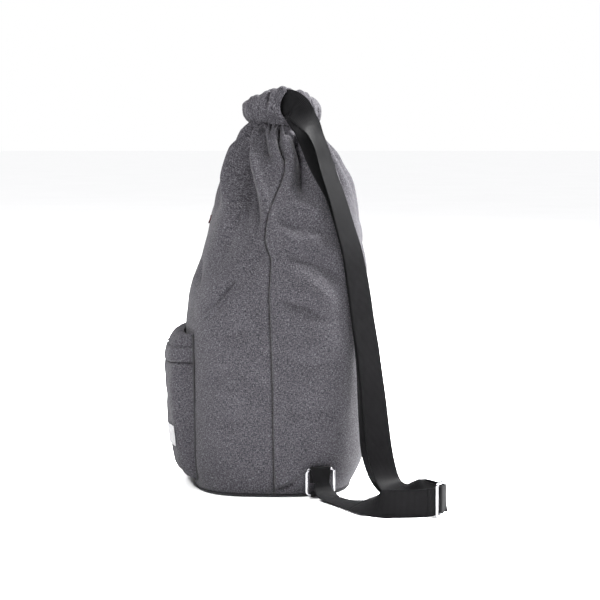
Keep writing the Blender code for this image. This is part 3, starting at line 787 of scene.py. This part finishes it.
# Folds of the near side: depth (millimetres; negative stands proud), half width at the start and at
# the end, shares of the length where it fades in and out, how much wider its front and back flanks
# are, share of the depth that is a sharp crease, and (y, z) points.
NEAR_FOLDS = [
    (3.6, 4.0, 7.0, 0.0, 0.5, EVEN, 0.4, [(-37, 442), (-44, 432), (-54, 416), (-63, 396), (-70, 374)]),
    (14.5, 3.6, 12.0, 0.0, 0.4, LEFT_WIDER, 0.55,
     [(-24, 446), (-26, 441), (-31, 432), (-35, 414), (-36.4, 396), (-34.5, 379), (-31, 363), (-27, 348),
      (-23, 334), (-23, 318), (-27, 300)]),
    (7.5, 2.6, 6.5, 0.0, 0.35, LEFT_WIDER, 0.5,
     [(-15, 446), (-16.5, 437), (-15.4, 424), (-11.8, 408), (-5.7, 397), (-3.5, 390)]),
    (3.6, 1.8, 2.6, 0.0, 0.5, EVEN, 0.6, [(-10, 446), (-9.8, 440), (-9.2, 430), (-5, 418)]),
    (7.5, 2.4, 3.6, 0.1, 0.2, RIGHT_WIDER, 0.6,
     [(1, 443), (2, 434), (1.2, 424), (4, 412), (9, 399), (10, 394)]),
    (4.6, 5.6, 6.4, 0.3, 0.4, EVEN, 0.0, [(7.5, 431), (12, 431.5), (17, 433)]),
    (-3.6, 6.0, 10.0, 0.2, 0.5, EVEN, 0.0, [(13, 424), (19, 404), (17, 378), (8, 352), (3, 330)]),
    (13.0, 9.0, 15.0, 0.1, 0.35, EVEN, 0.0,
     [(26, 430), (30, 416), (33, 400), (34, 384), (33, 370), (36, 352)]),
    (-3.4, 9.0, 9.0, 0.3, 0.3, EVEN, 0.0, [(14, 350), (36, 341), (62, 334)]),
    (3.0, 5.0, 6.0, 0.25, 0.4, EVEN, 0.1, [(-1, 329), (9, 325), (24, 320), (38, 318)]),
    (-2.4, 8.0, 8.0, 0.3, 0.3, EVEN, 0.0, [(4, 306), (30, 303), (62, 308)]),
    (4.0, 8.5, 11.0, 0.3, 0.3, EVEN, 0.05, [(10, 288), (24, 285), (42, 279), (64, 270), (80, 256)]),
    (-1.4, 8.0, 10.0, 0.3, 0.4, EVEN, 0.0, [(28, 262), (54, 244), (78, 222)]),
    (3.6, 5.0, 8.0, 0.25, 0.4, EVEN, 0.3, [(-1, 238), (18, 231), (40, 224), (64, 206)]),
    (-2.2, 1.5, 2.2, 0.2, 0.3, EVEN, 0.4, [(-41, 264), (-52, 248), (-64, 233), (-79, 219), (-93, 203)]),
    (3.0, 6.0, 8.0, 0.2, 0.4, EVEN, 0.2, [(-47, 262), (-59, 244), (-72, 228), (-86, 214)]),
    (2.6, 9.0, 10.0, 0.3, 0.4, EVEN, 0.2, [(-24, 208), (-48, 196), (-80, 190)]),
    (2.6, 10.0, 10.0, 0.3, 0.4, EVEN, 0.2, [(-30, 156), (-57, 148), (-84, 138)]),
    (-1.6, 8.0, 10.0, 0.3, 0.4, EVEN, 0.0, [(-22, 138), (-50, 126), (-86, 122)]),
    (2.4, 8.0, 9.0, 0.3, 0.3, EVEN, 0.2, [(-20, 90), (-52, 92), (-86, 84)]),
    (2.2, 9.0, 9.0, 0.3, 0.3, EVEN, 0.2, [(8, 170), (40, 158), (84, 166)]),
    (2.2, 9.0, 9.0, 0.3, 0.3, EVEN, 0.2, [(6, 108), (44, 100), (88, 112)]),
    (-1.8, 2.6, 4.4, 0.2, 0.3, EVEN, 0.3, [(2, 12), (18, 24), (34, 40)]),
    (4.0, 1.6, 3.0, 0.0, 0.5, EVEN, 0.5, [(-30, 447), (-33, 438), (-39, 424), (-42, 408)]),
    (3.4, 1.5, 2.4, 0.0, 0.5, EVEN, 0.5, [(-19, 447), (-20, 438), (-22, 426)]),
    (3.2, 2.0, 4.4, 0.1, 0.4, EVEN, 0.5, [(-1, 8), (10, 13), (24, 19)]),
    (-4.6, 7.0, 12.0, 0.2, 0.5, EVEN, 0.0, [(-44, 428), (-53, 404), (-58, 372), (-62, 330)]),
    (6.0, 7.0, 11.0, 0.3, 0.5, EVEN, 0.0, [(-38, 410), (-41, 380), (-38, 350), (-38, 318), (-44, 290)]),
    (-2.8, 7.0, 12.0, 0.2, 0.5, EVEN, 0.0, [(-25, 414), (-24, 392), (-16, 362), (-12, 330)]),
    (4.4, 9.0, 15.0, 0.2, 0.4, EVEN, 0.15, [(-40, 345), (-52, 318), (-64, 288), (-74, 260)]),
    (2.6, 6.0, 9.0, 0.2, 0.4, EVEN, 0.2, [(-8, 300), (-24, 276), (-33, 246)]),
]


def neck_folds():
    """Pleats fanning down from the gathered neck on the front, far side and back."""
    random = np.random.default_rng(41)
    made = []
    for angle in np.arange(-76.0, -300.0, -11.5):
        angle += random.uniform(-3.5, 3.5)
        spread = random.uniform(-0.16, 0.16) * 60
        reach = random.choice([55.0, 80.0, 120.0, 165.0])
        depth = random.uniform(2.2, 4.2) + reach / 45
        steps = np.linspace(0, 1, 7)
        wander = random.uniform(-4, 4) * np.sin(steps * random.uniform(2, 5))
        line = [(angle + spread * s ** 1.3 + w, 446 - reach * s) for s, w in zip(steps, wander)]
        made.append((depth, 2.6, 5.0 + reach / 14, 0.0, 0.5, EVEN, 0.4, line))
    for angle, z, span, depth in ((100, 300, 40, 2.4), (70, 240, 38, 2.2), (135, 200, 44, 2.0),
                                  (200, 260, 46, 2.6), (222, 150, 40, 2.0), (160, 120, 42, 2.0),
                                  (250, 300, 36, 2.4), (292, 262, 30, 2.2), (96, 130, 46, 1.8)):
        line = [(angle + span * s, z + 16 * math.sin(3 * s + angle)) for s in (-0.5, -0.2, 0.15, 0.5)]
        made.append((1.5 * depth, 7.0, 9.0, 0.35, 0.35, EVEN, 0.3, line))
    return made


def neck_pleats():
    """Small gathers all round the neck: angle, depth, half width and reach down the body."""
    random = np.random.default_rng(23)
    made, angle = [], 4.0
    while angle < 356.0:
        shape = [random.uniform(*limits) for limits in ((2.0, 4.4), (0.9, 1.7), (9.0, 34.0))]
        made.append((angle, *shape))
        angle += random.uniform(6.0, 11.5)
    return made


def pleat_depth(angle, radius, below):
    """How far the small gathers pull the cloth in, at a distance below the seam, in metres."""
    total = np.zeros(np.broadcast(angle, below).shape)
    for centre, depth, half, reach in neck_pleats():
        offset = (angle - math.radians(centre) + math.pi) % TAU - math.pi
        share = np.clip(below / (reach * MM), 0, 1)
        total += depth * MM * (1 - share) ** 1.5 * bell(offset * radius, half * MM * (1 + 2 * share), 1.4)
    return total


def fold_depth(points, line, depth, start, end, fade_in, fade_out, flanks, sharp):
    """How far one fold moves each point inwards, in metres."""
    line = smooth_rows(line, 3)
    reach = reach_along(line)
    reach /= reach[-1]
    nearest = np.full(points.shape[:-1], np.inf)
    share = np.zeros(points.shape[:-1])
    behind = np.zeros(points.shape[:-1])
    for k in range(len(line) - 1):
        run = line[k + 1] - line[k]
        t = np.clip(((points - line[k]) @ run) / (run @ run), 0, 1)
        offset = points - (line[k] + t[..., None] * run)
        gap = np.linalg.norm(offset, axis=-1)
        closer = gap < nearest
        nearest = np.where(closer, gap, nearest)
        share = np.where(closer, reach[k] + t * (reach[k + 1] - reach[k]), share)
        behind = np.where(closer, offset[..., 1], behind)
    half = (start + (end - start) * share) * MM
    half = half * (flanks[0] + (flanks[1] - flanks[0]) / (1 + np.exp(-behind / (0.25 * half))))
    rise = np.clip(share / fade_in, 0, 1) if fade_in else 1.0
    fall = np.clip((1 - share) / fade_out, 0, 1) if fade_out else 1.0
    crease = (1 - sharp) * bell(nearest, half, 1.45) + sharp * bell(nearest, 0.34 * half, 1.15)
    puff = 0.22 * bell(nearest - 2.3 * half, 1.2 * half)
    return FOLD_GAIN * depth * MM * ease(rise) * ease(fall) * (crease - puff)


def body_folds(points):
    """Total inward movement of the cloth at these points of the plain body."""
    total = np.zeros(points.shape[:-1])
    for *shape, line in NEAR_FOLDS:
        total += fold_depth(points, side_points(line), *shape)
    for *shape, line in neck_folds():
        total += fold_depth(points, ring_points(line), *shape)
    height = points[..., 2]
    turn = np.arctan2(points[..., 1] - CHANNEL_MIDDLE_Y, points[..., 0])
    total += pleat_depth(turn, NECK_RADIUS, channel_foot(turn) - height)
    total += WAIST_PULL * ease(np.clip((height - channel_foot(turn) + 0.013) / 0.015, 0, 1))
    near_floor = np.clip(height / 0.05, 0, 1)
    total += 0.0011 * near_floor * waves(points, 0.045, 7)
    total += 0.0004 * near_floor * waves(points, 0.016, 8)
    return total


def seam_angles(z):
    """Angles of the near and far side seams at this height."""
    seam = smooth_rows(NEAR_SEAM, 4)
    y = np.interp(z, seam[:, 1] * MM, seam[:, 0] * MM)
    far_y = 0.004 * math.sin(z * 18) - 0.001
    return side_angle(y, z), math.pi - side_angle(far_y, z)


def body_grid(front, columns, rows, low, high):
    """Plain points of one panel, evenly spaced between its seams, and their UVs."""
    samples, points, uvs = 900, [], []
    for z in np.linspace(low, high, rows):
        near, far = seam_angles(z)
        start, end = (far - TAU, near) if front else (near, far)
        angles = np.linspace(start, end, samples)
        reach = reach_along(section(np.full(samples, z), angles))
        wanted = np.linspace(0, reach[-1], columns)
        angle = np.interp(wanted, reach, angles)
        points.append(section(np.full(columns, z), angle))
        uvs.append(np.stack([wanted - (reach[-1] if front else 0.0), np.full(columns, z)], 1))
    return np.array(points), np.array(uvs)


def folded(points):
    """The panel with its folds, and its side edges turned in at the seams."""
    outward = surface_normals(points)
    moved = points - outward * body_folds(points)[..., None]
    columns = points.shape[1]
    step = np.linalg.norm(np.diff(points, axis=1), axis=-1).mean(axis=1, keepdims=True)
    from_edge = np.minimum(np.arange(columns), np.arange(columns)[::-1])[None, :] * step
    turned = 0.0032 * bell(from_edge, 0.0015, 1.3) - 0.0006 * bell(from_edge - 0.004, 0.002)
    return moved - outward * turned[..., None]


def make_body():
    for name, front in (("front", True), ("back", False)):
        points, uv = body_grid(front, columns=300, rows=300, low=BASE_THICK + FLOOR_GAP,
                               high=NECK_Z + 0.001)
        panel = grid_object(name + "_cloth_panel", folded(points), uv, CLOTH)
        thicken(panel, FABRIC)
        place(panel, "bag", "grey_cloth", name + "_panel")


def make_lining():
    """The inner bag follows the cloth a little inside it."""
    halves = []
    for front in (True, False):
        points, uv = body_grid(front, columns=150, rows=130, low=0.0085, high=NECK_Z - 0.003)
        halves.append((points - surface_normals(points) * (body_folds(points)[..., None] + 0.0036), uv))
    points = np.concatenate([halves[0][0][:, :-1], halves[1][0][:, :-1]], axis=1)
    uv = np.concatenate([halves[0][1][:, :-1], halves[1][1]], axis=1)
    lining = grid_object("inner_lining", points, uv, LINING, closed=True)
    bm = bmesh.new()
    bm.from_mesh(lining.data)
    bm.edges.ensure_lookup_table()
    foot = [e for e in bm.edges if e.is_boundary and max(v.co.z for v in e.verts) < 0.01]
    bmesh.ops.holes_fill(bm, edges=foot, sides=0)
    bm.to_mesh(lining.data)
    bm.free()
    thicken(lining, 0.0006)
    place(lining, "bag", "lining_cloth", "lining")


def make_base():
    """Base panel with a rounded edge, and its bound rim; its near-black colour is painted contact shade
    along the bag's foot.
    """
    rows = [(0.006, 0.0002), (0.0015, 0.0003), (0.0003, 0.0009), (0.0, 0.0020), (0.0004, 0.0034),
            (0.0020, 0.0040), (0.006, 0.0040)]
    sides, middle = 240, np.array([0.0, -0.0065, 0.0])
    angle = np.linspace(0, TAU, sides, endpoint=False)
    rings = []
    for inset, z in rows:
        outline = section(np.full(sides, BASE_THICK), angle) - middle
        size = np.linalg.norm(outline[:, :2], axis=1, keepdims=True)
        outline[:, :2] *= 1 - inset / size
        outline[:, 2] = z
        rings.append(outline + middle)
    uv = uv_grid(np.linspace(0, 0.75, sides + 1), [z for _, z in rows])
    base = close_ends(grid_object("base_cloth", np.array(rings), uv, BASE_PAINTED_SHADE, closed=True))
    place(base, "bag", "base_cloth", "base_panel")


# ---- drawstring channel ----
def channel_top(angle):
    """The ruffle's upper edge: highest at the sides, lower at the front and back, and lumpy."""
    lumps = 0.0009 * np.sin(11 * angle + 0.6) + 0.0007 * np.sin(23 * angle + 2.0)
    dent = 0.0042 * bell(np.degrees(angle) + 36, 9.0)
    return 0.4700 + 0.0150 * np.cos(angle) ** 2 + lumps - dent


def channel_foot(angle):
    """The gathered foot: lower at the back than at the front."""
    return CHANNEL_FOOT - 0.0056 - 0.0039 * np.sin(angle)


def open_end(level):
    """Degrees the channel's open end stands past its span: flared at its foot and hollow above."""
    return 8.0 * np.exp(-level / 0.16) - 10.0 * np.sin(np.clip(level * 1.12, 0, 1) * math.pi) ** 0.9


def channel_piece(name, node, span, flare, creases, seed):
    """Puffy cloth tube round part of the neck, gathered along its foot; flare opens its last end."""
    stations, around = 230, 72
    share = np.linspace(0, 1, stations)[:, None]
    turn = np.linspace(0, TAU, around, endpoint=False)[None, :]
    up, across = blunt(np.sin(turn), 0.7), blunt(np.cos(turn), 0.7)
    level = (up + 1) / 2
    start = math.radians(span[0])
    end = np.radians(span[1] + flare * open_end(level))
    angle = start + (end - start) * share
    top = channel_top(angle)
    foot = channel_foot(angle)
    z = foot + (top - foot) * level
    belly = 0.34 + 0.84 * np.sin(np.clip(level, 0.02, 1) * math.pi * 0.86) ** 0.9
    depth = CHANNEL_DEPTH / 2 * across * belly
    random = np.random.default_rng(seed)
    pinch = np.zeros_like(angle)
    for centre, depth_mm, half, _ in neck_pleats():
        lean, climb = random.uniform(-4.0, 4.0), random.uniform(0.35, 1.0)
        offset = (np.degrees(angle) - centre + 180 - lean * level) % 360 - 180
        fade = np.clip(1 - level / climb, 0, 1)
        pinch += 0.9 * depth_mm * fade * bell(offset, 1.15 * half * (1 + level), 1.4)
    for centre, lean, size, width, low, high in creases:
        window = 1 / (1 + np.exp(-(level - low) * 22)) / (1 + np.exp((level - high) * 22))
        pinch += size * bell(np.degrees(angle) - centre - lean * level, width, 1.3) * window
    depth = depth - pinch * MM * np.abs(across) * np.where(across > 0, 1.0, -0.6)
    z = z - 0.35 * pinch * MM * np.clip(up, 0, 1)
    x = (CHANNEL_RADIUS[0] + depth) * np.cos(angle)
    y_radius = CHANNEL_RADIUS[1] - 0.0025 * np.clip(np.sin(angle), 0, 1) + depth
    y = CHANNEL_MIDDLE_Y + y_radius * np.sin(angle)
    points = np.stack([x, y, z + 0 * angle], axis=-1)
    points += surface_normals(points) * (0.0005 * waves(points, 0.008, seed + 1))[..., None]
    along = (math.radians(span[0]) + share[:, 0] * math.radians(span[1] - span[0])) * CHANNEL_UV_RADIUS
    uv = uv_grid(np.linspace(0, CHANNEL_GIRTH, around + 1), along)[..., ::-1]
    channel = thicken(grid_object(name, points, uv, CLOTH, closed=True), THIN_FABRIC)
    place(channel, "bag", "grey_cloth", node)


def make_channel():
    # Creases: centre and lean in degrees, depth in millimetres, width in degrees, levels they span.
    channel_piece("neck_channel_front", "channel_front", CHANNEL_FRONT, 1.0,
                  [(-26, 5, 8.0, 2.1, 0.33, 1.2), (-14, 2, 7.0, 4.6, 0.08, 0.28),
                   (-40, 4, 3.5, 1.8, 0.0, 0.7), (-48, -4, 3.2, 1.8, -0.5, 0.8),
                   (-62, 5, 3.4, 2.0, 0.3, 1.2), (-75, 3, 3.2, 1.8, 0.2, 1.2)], 5)
    channel_piece("neck_channel_back", "channel_back", CHANNEL_BACK, 0.0,
                  [(45, 5, 2.6, 2.0, 0.2, 1.2), (70, -4, 2.8, 2.0, -0.5, 0.7),
                   (96, 4, 2.4, 1.8, 0.3, 1.2)], 9)
    angle = np.radians(np.linspace(CHANNEL_BACK[0] + 9.0, 360.0 + CHANNEL_FRONT[1] - 18.0, 260))
    tall = channel_top(angle) - CHANNEL_FOOT
    y = CHANNEL_MIDDLE_Y + CHANNEL_RADIUS[1] * np.sin(angle)
    centres = np.stack([CHANNEL_RADIUS[0] * np.cos(angle), y, CHANNEL_FOOT + tall / 2], 1)
    upright = np.tile(UP, (len(angle), 1))
    inside = ribbon("channel_strap", centres, upright, np.minimum(WEB_WIDTH, tall - 0.0065))
    place(inside, "bag", "webbing", "channel_webbing")


# ---- pocket ----
def pocket_outline(out, columns):
    """One level of the pocket: out along its end, round the corner, across and back."""
    radius = min(POCKET_CORNER, out * 0.8 + 0.0005)
    half = POCKET_HALF
    straight = max(out - radius, 0.0)
    n = 12      # points on each end and on each corner
    turn = np.linspace(0, math.pi / 2, n)
    side = [(half, straight * s) for s in np.linspace(0, 1, n, endpoint=False)]
    corner = [(half - radius * (1 - math.cos(a)), straight + radius * math.sin(a)) for a in turn]
    right = np.array(side + corner)
    left = right[::-1] * (-1, 1)
    line = np.vstack([right, left])
    reach = reach_along(line)
    wanted = np.interp(columns, POCKET_KNOTS, reach[[0, n - 1, 2 * n - 1, 2 * n, 3 * n, 4 * n - 1]])
    x = np.interp(wanted, reach, line[:, 0])
    stand = np.interp(wanted, reach, line[:, 1])
    return x, stand, wanted


def pocket_sheet(rows, levels, seed):
    """Wrinkled points of the pocket through its rows, their UVs and their outward normals."""
    rows = smooth_rows(rows, 6)
    share = np.linspace(0, 1, POCKET_COLUMNS)
    reach = reach_along(rows)
    wanted = np.linspace(0, reach[-1], levels)
    outs, heights = np.interp(wanted, reach, rows[:, 0]), np.interp(wanted, reach, rows[:, 1])
    points, uvs = [], []
    for out, z, climb in zip(outs, heights, wanted):
        x, stand, u = pocket_outline(out, share)
        fall = 0.004 * (np.abs(x) / POCKET_HALF) ** 4 * np.minimum(1.0, stand / 0.02)
        y = front_y(x, z) - stand + fall
        points.append(np.stack([x, y, np.full_like(x, z)], 1))
        uvs.append(np.stack([u, np.full_like(x, climb + 0.01)], 1))
    points = np.array(points)
    outward = surface_normals(points)
    if outward[levels // 3, POCKET_COLUMNS // 2, 1] > 0:
        outward = -outward
    wrinkles = 0.0012 * waves(points, 0.030, seed) + 0.0004 * waves(points, 0.010, seed + 1)
    return points - outward * wrinkles[..., None], np.array(uvs), outward


def pocket_face():
    """The wrinkled front and sides of the pocket, below its hem."""
    points, uv, outward = pocket_sheet(POCKET_ROWS, 130, 21)
    lip = 0.0018 * bell(points[..., 2] - POCKET_LIP, 0.0014)
    return points - outward * lip[..., None], uv, outward


def make_pocket():
    points, uv, outward = pocket_face()
    face = thicken(grid_object("pocket_cloth", points, uv, CLOTH), THIN_FABRIC, 1.0)
    place(face, "bag", "grey_cloth", "pocket_front", "pocket_gusset_right", "pocket_gusset_left")

    points, uv, outward = pocket_sheet(HEM_ROWS, 90, 31)
    z = points[..., 2]
    raised = 0.0010 * np.clip((z - 0.1565) / 0.002, 0, 1) * np.clip((0.181 - z) / 0.004, 0, 1)
    groove = 0.0019 * bell(z - 0.1755, 0.0012)
    ends = np.clip((np.abs(points[..., 0]) - 0.070) / 0.015, 0, 1)
    corner = 0.0042 * ends * bell(points[..., 1] + 0.1105, 0.0022, 1.4) * bell(z - 0.1855, 0.006)
    lumps = 0.0012 * ends * np.sin(points[..., 1] * 900) * np.clip((z - 0.1765) / 0.006, 0, 1)
    points += outward * (raised - groove - corner + lumps)[..., None]
    hem = thicken(grid_object("pocket_hem_band", points, uv, CLOTH), THIN_FABRIC, 1.0)
    place(hem, "bag", "grey_cloth", "pocket_hem")
    for name, grid, out, level in (("pocket_hem_stitches", points, outward, HEM_STITCHES),
                                   ("pocket_seam_stitches", *pocket_face()[::2], SEAM_STITCHES)):
        row = np.argmin(np.abs(grid[:, POCKET_COLUMNS // 2, 2] - level))
        stitch_row(name, grid[row] + out[row] * 0.0013, out[row], "grey_cloth", DARK_THREAD,
                   length=0.0026, gap=0.0012, radius=0.00028)


def tube(name, path, radius, material):
    """A round cord along a path, as a closed mesh with UVs."""
    sides = 10
    ahead = unit(np.gradient(path, axis=0))
    side = unit(np.cross(ahead, np.array([0.05, 1.0, 0.08])))
    lift = np.cross(side, ahead)
    turn = np.linspace(0, TAU, sides, endpoint=False)
    points = path[:, None] + radius * (side[:, None] * np.cos(turn)[None, :, None]
                                       + lift[:, None] * np.sin(turn)[None, :, None])
    uv = uv_grid(np.linspace(0, TAU * radius, sides + 1), reach_along(path))
    return close_ends(grid_object(name, points, uv, material, closed=True))


def make_piping():
    """Corded edge where the pocket is sewn to the body."""
    side, foot = POCKET_HALF + 0.0018, 0.0140
    rise = [(side, z) for z in np.linspace(0.1900, foot + 0.006, 60)]
    turn = np.radians(np.linspace(0, 90, 12))
    corner = [(side - 0.006 + 0.006 * math.cos(a), foot + 0.006 - 0.006 * math.sin(a)) for a in turn]
    along = [(x, foot) for x in np.linspace(side - 0.008, -side + 0.008, 80)]
    plan = np.array(rise + corner + along + [(-x, z) for x, z in corner[::-1] + rise[::-1]])
    x, z = plan.T
    path = np.stack([x, front_y(x, z) - 0.0012, z], 1)
    path += 0.0003 * np.sin(np.arange(len(path)) * 1.7)[:, None] * np.array([1.0, 0.0, 0.0])
    piping = tube("pocket_piping_cord", path, 0.00125, PIPING)
    place(piping, "bag", "piping", "pocket_piping")


def stitch_row(name, path, outward, slot, material, length, gap, radius):
    """A row of short raised thread stitches along a path."""
    reach = reach_along(path)
    rings, sides = 5, 6
    vertices, faces = [], []
    for k in range(int(reach[-1] / (length + gap))):
        middle = (k + 0.5) * (length + gap)
        start, end, out = (np.array([np.interp(at, reach, line[:, axis]) for axis in range(3)])
                           for line, at in ((path, middle - length / 2), (path, middle + length / 2),
                                            (outward, middle)))
        out = unit(out)
        side = np.cross(unit(end - start), out)
        base = len(vertices)
        for r in range(rings):
            share = r / (rings - 1)
            fat = radius * math.sqrt(max(1 - (2 * share - 1) ** 2, 0.02))
            centre = start + (end - start) * share + out * (radius * 0.7 * math.sin(share * math.pi))
            for a in np.arange(sides) * TAU / sides:
                vertices.append(centre + fat * (side * math.cos(a) + out * math.sin(a)))
        for r in range(rings - 1):
            for i in range(sides):
                j = (i + 1) % sides
                low, high = base + r * sides, base + (r + 1) * sides
                faces.append((low + i, low + j, high + j, high + i))
        faces.append(tuple(base + i for i in range(sides))[::-1])
        faces.append(tuple(base + (rings - 1) * sides + i for i in range(sides)))
    mesh = bpy.data.meshes.new(name)
    mesh.from_pydata([tuple(v) for v in vertices], [], faces)
    mesh.shade_smooth()
    uv = mesh.uv_layers.new(name="cloth")
    loops = np.array([mesh.vertices[l.vertex_index].co[:] for l in mesh.loops])
    uv.data.foreach_set("uv", loops[:, 1:3].astype(np.float32).ravel())
    mesh.materials.append(material)
    place(add_object(name, mesh, pieces), "bag", slot)


def make_label():
    """A blank woven label that wraps the pocket's rounded near end, stitched along its short sides."""
    points, uv, outward = pocket_face()
    rows = slice(*np.searchsorted(points[:, POCKET_COLUMNS // 2, 2], LABEL_LEVELS))
    columns = slice(*(np.array(LABEL_SHARES) * POCKET_COLUMNS).astype(int))
    outward = outward[rows, columns]
    raised = points[rows, columns] + outward * LABEL_LIFT
    label = thicken(grid_object("blank_label", raised, uv[rows, columns], LABEL), 0.0006, 0.0)
    place(label, "bag", "label", "pocket_label")
    for k, edge in enumerate((2, -3)):
        out = outward[1:-1, edge]
        stitch_row("label_stitches_%d" % k, raised[1:-1, edge] + out * 0.0004, out, "label", THREAD,
                   length=0.0012, gap=0.0007, radius=0.00016)


def make_tag():
    """A small folded tag caught in a seam high on the front."""
    low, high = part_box("side_tag")
    middle = (low + high) / 2
    z = np.linspace(middle.z - 0.0018, middle.z + 0.0082, 22)
    loop = np.linspace(0, math.pi, 19)
    root = front_y(middle.x, z) + 0.0005
    across = 0.0006 * np.cos(loop) * (1 - 0.2 * np.sin(loop))
    out = 0.0016 * np.sin(loop) ** 0.45
    x = middle.x + across[None, :] + 0.0006 * np.sin((z - z[0])[:, None] * 320)
    y = root[:, None] - out[None, :] - 0.0003 * np.cos((z - z[0])[:, None] * 500)
    points = np.stack([x, y + 0 * x, np.repeat(z[:, None], len(loop), axis=1)], axis=-1)
    uv = uv_grid(np.linspace(0, 0.011, len(loop)), z)
    tag = thicken(grid_object("folded_tag", points, uv, TAG), 0.00035, 0.0)
    place(tag, "bag", "tag", "side_tag")


def finish_board():
    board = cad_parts["base_board"]
    board.data.materials.clear()
    board.data.materials.append(BOARD)


# ---- run ----
make_camera()
make_straps()
make_studio()
make_body()
make_lining()
make_base()
make_channel()
make_pocket()
make_piping()
make_label()
make_tag()
make_ring()
make_ring_tab()
finish_board()
